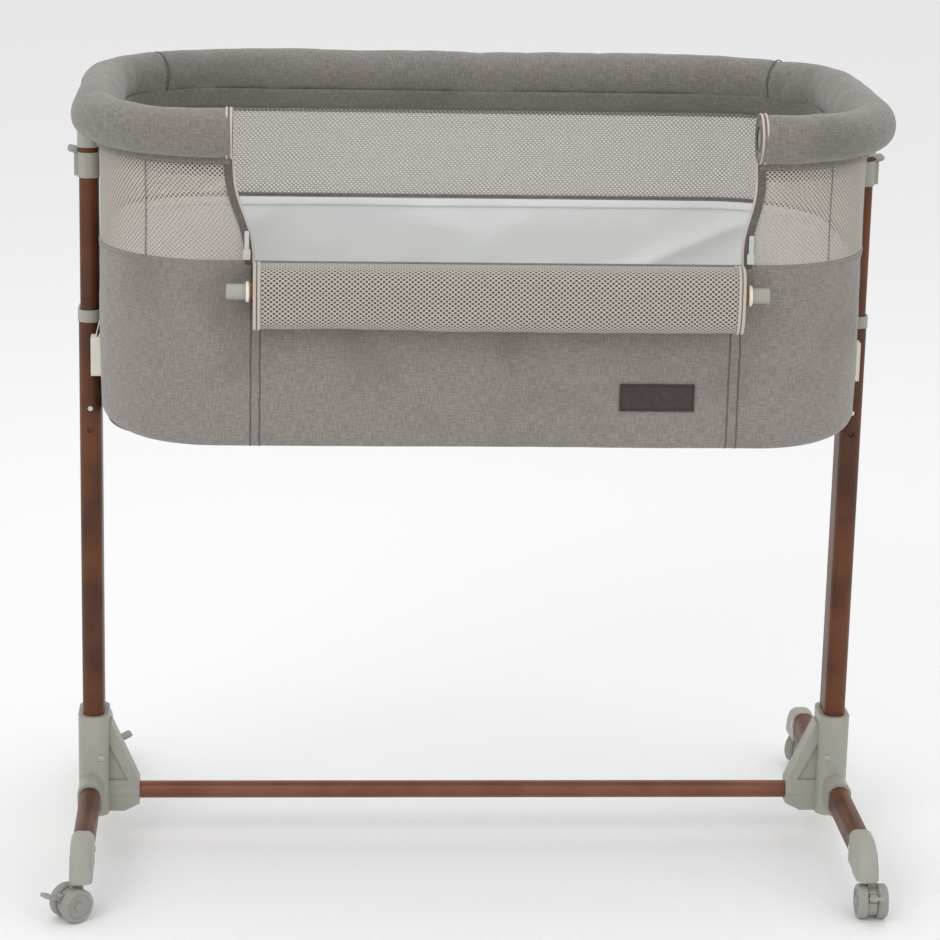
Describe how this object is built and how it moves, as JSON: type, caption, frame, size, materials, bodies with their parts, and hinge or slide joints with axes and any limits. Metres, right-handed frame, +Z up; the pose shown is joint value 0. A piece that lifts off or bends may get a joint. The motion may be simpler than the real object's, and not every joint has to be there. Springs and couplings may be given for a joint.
{
  "type": "bassinet on stand",
  "caption": "Rectangular cloth bassinet with a padded rim, mesh walls and a drop-down front side, held between two telescoping legs on a rolling H-shaped stand.",
  "frame": {"origin": "on the floor, under the middle of the object", "axes": "+X along the basket to its right end as the drop side is faced, +Y away from the drop side, +Z up"},
  "size_m": [0.9863, 0.572, 0.927],
  "materials": {
    "brown_tube": "semi-gloss walnut brown",
    "zinc_steel": "zinc plated",
    "zip_metal": "white nickel",
    "rim_cloth": "heathered taupe linen look",
    "skirt_cloth": "heathered taupe linen look",
    "floor_cloth": "plain woven",
    "mesh_cloth": "open beige mesh",
    "lining_cloth": "soft white",
    "mattress_cloth": "soft white quilt",
    "label_leather": "dark brown",
    "white_plastic": "cream",
    "board": "fibre board",
    "wheel_plastic": "satin",
    "grey_plastic": "satin warm grey-green"
  },
  "bodies": {
    "stand": {"base_bracket_left": "grey_plastic", "base_bracket_right": "grey_plastic", "bracket_screws": "zinc_steel", "cross_bar": "brown_tube", "foot_cap_front_left": "grey_plastic", "foot_cap_front_right": "grey_plastic", "foot_cap_rear_left": "grey_plastic", "foot_cap_rear_right": "grey_plastic", "foot_tube_left": "brown_tube", "foot_tube_right": "brown_tube", "leg_collar_left": "grey_plastic", "leg_collar_right": "grey_plastic", "leg_outer_tube_left": "brown_tube", "leg_outer_tube_right": "brown_tube"},
    "caster_front_left_swivel": {"caster_front_left_housing": "grey_plastic"},
    "caster_front_left_wheelset": {"caster_front_left_wheels": "wheel_plastic"},
    "caster_front_left_lever": {"caster_front_left_brake": "grey_plastic"},
    "caster_front_right_swivel": {"caster_front_right_housing": "grey_plastic"},
    "caster_front_right_wheelset": {"caster_front_right_wheels": "wheel_plastic"},
    "caster_front_right_lever": {"caster_front_right_brake": "grey_plastic"},
    "caster_rear_left_swivel": {"caster_rear_left_housing": "grey_plastic"},
    "caster_rear_left_wheelset": {"caster_rear_left_wheels": "wheel_plastic"},
    "caster_rear_left_lever": {"caster_rear_left_brake": "grey_plastic"},
    "caster_rear_right_swivel": {"caster_rear_right_housing": "grey_plastic"},
    "caster_rear_right_wheelset": {"caster_rear_right_wheels": "wheel_plastic"},
    "caster_rear_right_lever": {"caster_rear_right_brake": "grey_plastic"},
    "basket": {"base_board": "board", "label_patch": "label_leather", "leg_inner_tube_left": "brown_tube", "leg_inner_tube_right": "brown_tube", "lining": "lining_cloth", "lower_frame_ring": "brown_tube", "mesh_wall_back": "mesh_cloth", "mesh_wall_left": "mesh_cloth", "mesh_wall_right": "mesh_cloth", "rail_sockets": "grey_plastic", "rim_pad_back": "rim_cloth", "rim_pad_left": "rim_cloth", "rim_pad_right": "rim_cloth", "rim_sockets": "grey_plastic", "rim_tube": "brown_tube", "skirt_back": "skirt_cloth", "skirt_bottom": "floor_cloth", "skirt_front": "skirt_cloth", "skirt_left": "skirt_cloth", "skirt_right": "skirt_cloth", "strap_buckles": "white_plastic", "trigger_housing_left": "grey_plastic", "trigger_housing_right": "grey_plastic"},
    "drop_rail": {"front_rail": "brown_tube", "front_panel_roll": "mesh_cloth"},
    "left_trigger": {"height_trigger_left": "grey_plastic"},
    "right_trigger": {"height_trigger_right": "grey_plastic"},
    "left_lock_pin": {"lock_pin_left": "zinc_steel"},
    "right_lock_pin": {"lock_pin_right": "zinc_steel"},
    "left_zip_slider": {"zip_slider_left": "zip_metal"},
    "right_zip_slider": {"zip_slider_right": "zip_metal"},
    "mattress_pad": {"mattress": "mattress_cloth"},
    "left_rail_plug": {"rail_plug_left": "grey_plastic"},
    "right_rail_plug": {"rail_plug_right": "grey_plastic"}
  },
  "joints": [
    {"name": "caster_front_left_turn", "type": "hinge", "parent": "stand", "child": "caster_front_left_swivel", "pos_m": [-0.456, -0.246, 0.03], "axis": [0, 0, 1], "continuous": true},
    {"name": "caster_front_left_roll", "type": "hinge", "parent": "caster_front_left_swivel", "child": "caster_front_left_wheelset", "pos_m": [-0.46085, -0.24953, 0.02], "axis": [0.5878, -0.809, 0], "continuous": true},
    {"name": "caster_front_left_brake_press", "type": "hinge", "parent": "caster_front_left_swivel", "child": "caster_front_left_lever", "pos_m": [-0.47137, -0.25717, 0.028], "axis": [0.5878, -0.809, 0], "range_deg": [0, 20]},
    {"name": "caster_front_right_turn", "type": "hinge", "parent": "stand", "child": "caster_front_right_swivel", "pos_m": [0.456, -0.246, 0.03], "axis": [0, 0, 1], "continuous": true},
    {"name": "caster_front_right_roll", "type": "hinge", "parent": "caster_front_right_swivel", "child": "caster_front_right_wheelset", "pos_m": [0.456, -0.252, 0.02], "axis": [1, 0, 0], "continuous": true},
    {"name": "caster_front_right_brake_press", "type": "hinge", "parent": "caster_front_right_swivel", "child": "caster_front_right_lever", "pos_m": [0.456, -0.265, 0.028], "axis": [1, 0, 0], "range_deg": [0, 20]},
    {"name": "caster_rear_left_turn", "type": "hinge", "parent": "stand", "child": "caster_rear_left_swivel", "pos_m": [-0.456, 0.246, 0.03], "axis": [0, 0, 1], "continuous": true},
    {"name": "caster_rear_left_roll", "type": "hinge", "parent": "caster_rear_left_swivel", "child": "caster_rear_left_wheelset", "pos_m": [-0.45036, 0.24805, 0.02], "axis": [-0.342, 0.9397, 0], "continuous": true},
    {"name": "caster_rear_left_brake_press", "type": "hinge", "parent": "caster_rear_left_swivel", "child": "caster_rear_left_lever", "pos_m": [-0.43815, 0.2525, 0.028], "axis": [-0.342, 0.9397, 0], "range_deg": [0, 20]},
    {"name": "caster_rear_right_turn", "type": "hinge", "parent": "stand", "child": "caster_rear_right_swivel", "pos_m": [0.456, 0.246, 0.03], "axis": [0, 0, 1], "continuous": true},
    {"name": "caster_rear_right_roll", "type": "hinge", "parent": "caster_rear_right_swivel", "child": "caster_rear_right_wheelset", "pos_m": [0.46024, 0.25024, 0.02], "axis": [-0.7071, 0.7071, 0], "continuous": true},
    {"name": "caster_rear_right_brake_press", "type": "hinge", "parent": "caster_rear_right_swivel", "child": "caster_rear_right_lever", "pos_m": [0.46943, 0.25944, 0.028], "axis": [-0.7071, 0.7071, 0], "range_deg": [0, 20]},
    {"name": "height_slide", "type": "slide", "parent": "stand", "child": "basket", "axis": [0, 0, 1], "range_m": [-0.15, 0]},
    {"name": "left_trigger_lift", "type": "slide", "parent": "basket", "child": "left_trigger", "axis": [0, 0, 1], "range_m": [0, 0.006], "stiffness_N_per_m": 300, "springref_m": -0.003},
    {"name": "left_lock_pin_draw", "type": "slide", "parent": "basket", "child": "left_lock_pin", "axis": [0, 1, 0], "range_m": [0, 0.005]},
    {"name": "left_zip_run", "type": "slide", "parent": "basket", "child": "left_zip_slider", "axis": [-0.2169, 0, 0.9762], "range_m": [0, 0.071]},
    {"name": "right_trigger_lift", "type": "slide", "parent": "basket", "child": "right_trigger", "axis": [0, 0, 1], "range_m": [0, 0.006], "stiffness_N_per_m": 300, "springref_m": -0.003},
    {"name": "right_lock_pin_draw", "type": "slide", "parent": "basket", "child": "right_lock_pin", "axis": [0, 1, 0], "range_m": [0, 0.005]},
    {"name": "right_zip_run", "type": "slide", "parent": "basket", "child": "right_zip_slider", "axis": [0.0885, 0, 0.9961], "range_m": [0, 0.071]},
    {"name": "drop_side_lift", "type": "slide", "parent": "basket", "child": "drop_rail", "axis": [0, 0.1826, 0.9832], "range_m": [0, 0.1697], "deforming": ["front_panel_roll"]},
    {"name": "left_rail_plug_press", "type": "slide", "parent": "drop_rail", "child": "left_rail_plug", "axis": [1, 0, 0], "range_m": [0, 0.031]},
    {"name": "right_rail_plug_press", "type": "slide", "parent": "drop_rail", "child": "right_rail_plug", "axis": [-1, 0, 0], "range_m": [0, 0.031]},
    {"name": "mattress_lift", "type": "slide", "parent": "basket", "child": "mattress_pad", "axis": [0, 0, 1], "range_m": [0, 0.38]}
  ],
  "couplings": [
    {"joint": "left_lock_pin_draw", "follows": "left_trigger_lift", "ratio": 0.83333},
    {"joint": "left_rail_plug_press", "follows": "drop_side_lift", "ratio": 0.1825},
    {"joint": "right_lock_pin_draw", "follows": "right_trigger_lift", "ratio": 0.83333},
    {"joint": "right_rail_plug_press", "follows": "drop_side_lift", "ratio": 0.1825}
  ]
}
